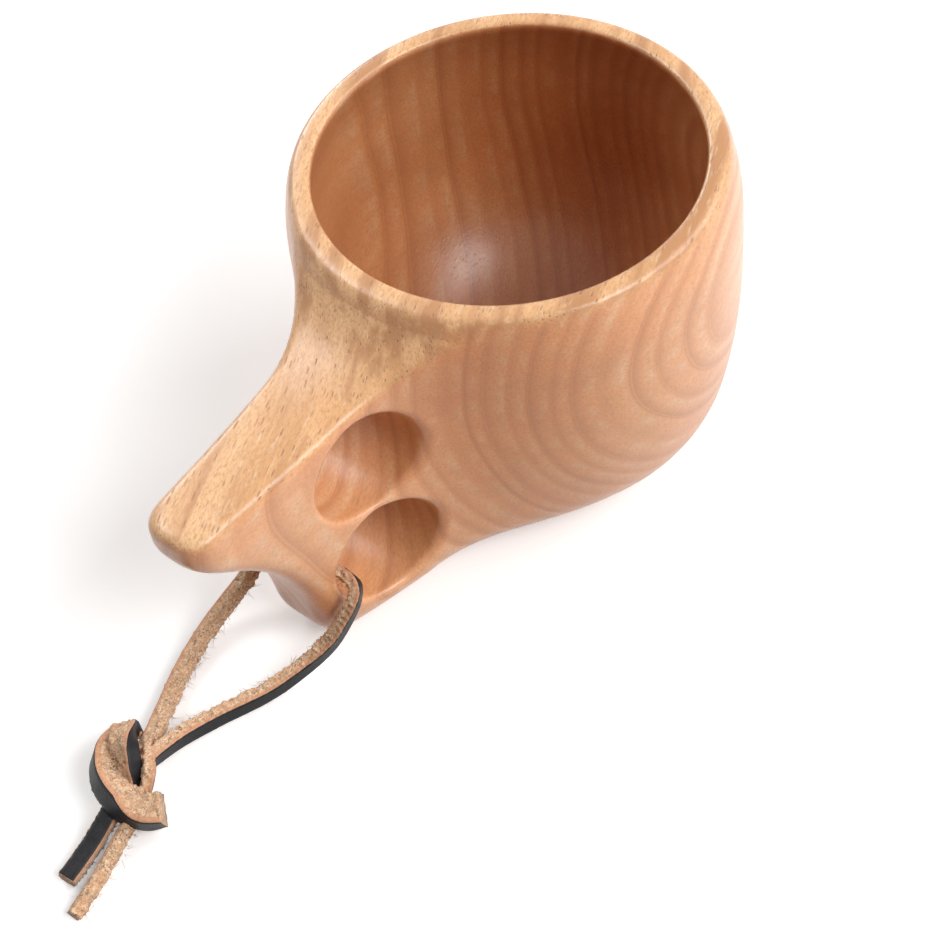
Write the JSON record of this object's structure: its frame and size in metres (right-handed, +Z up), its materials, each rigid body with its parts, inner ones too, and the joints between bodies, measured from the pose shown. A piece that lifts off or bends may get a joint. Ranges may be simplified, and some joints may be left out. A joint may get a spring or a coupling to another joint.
{
  "type": "kuksa wooden cup",
  "caption": "Carved wooden drinking cup with a rounded bowl, a finger-hole handle with a thumb rest, and a knotted leather lace looped through the lower hole.",
  "frame": {"origin": "middle of the flat base, on the bowl's axis, at the surface that the cup stands on", "axes": "+Z up along the bowl's axis; the handle points along -X and the bowl's front along +X; y = 0 is the cup's plane of symmetry"},
  "size_m": [0.1694, 0.0782, 0.062],
  "materials": {
    "wood": "pale pinkish-tan hardwood with growth-ring figure under a thin satin lacquer",
    "lace_leather": "natural fibrous suede, with one smooth black grain face"
  },
  "bodies": {
    "cup": {"cup_body": "wood"},
    "lace": {"lace_near_leg": "lace_leather", "lace_far_leg": "lace_leather", "lace_knot": "lace_leather", "lace_tail_long": "lace_leather", "lace_tail_short": "lace_leather"}
  },
  "joints": [
    {"name": "lace_swing", "type": "hinge", "parent": "cup", "child": "lace", "pos_m": [-0.0604, 0, 0.0171], "axis": [0, 1, 0], "range_deg": [0, 50]}
  ]
}
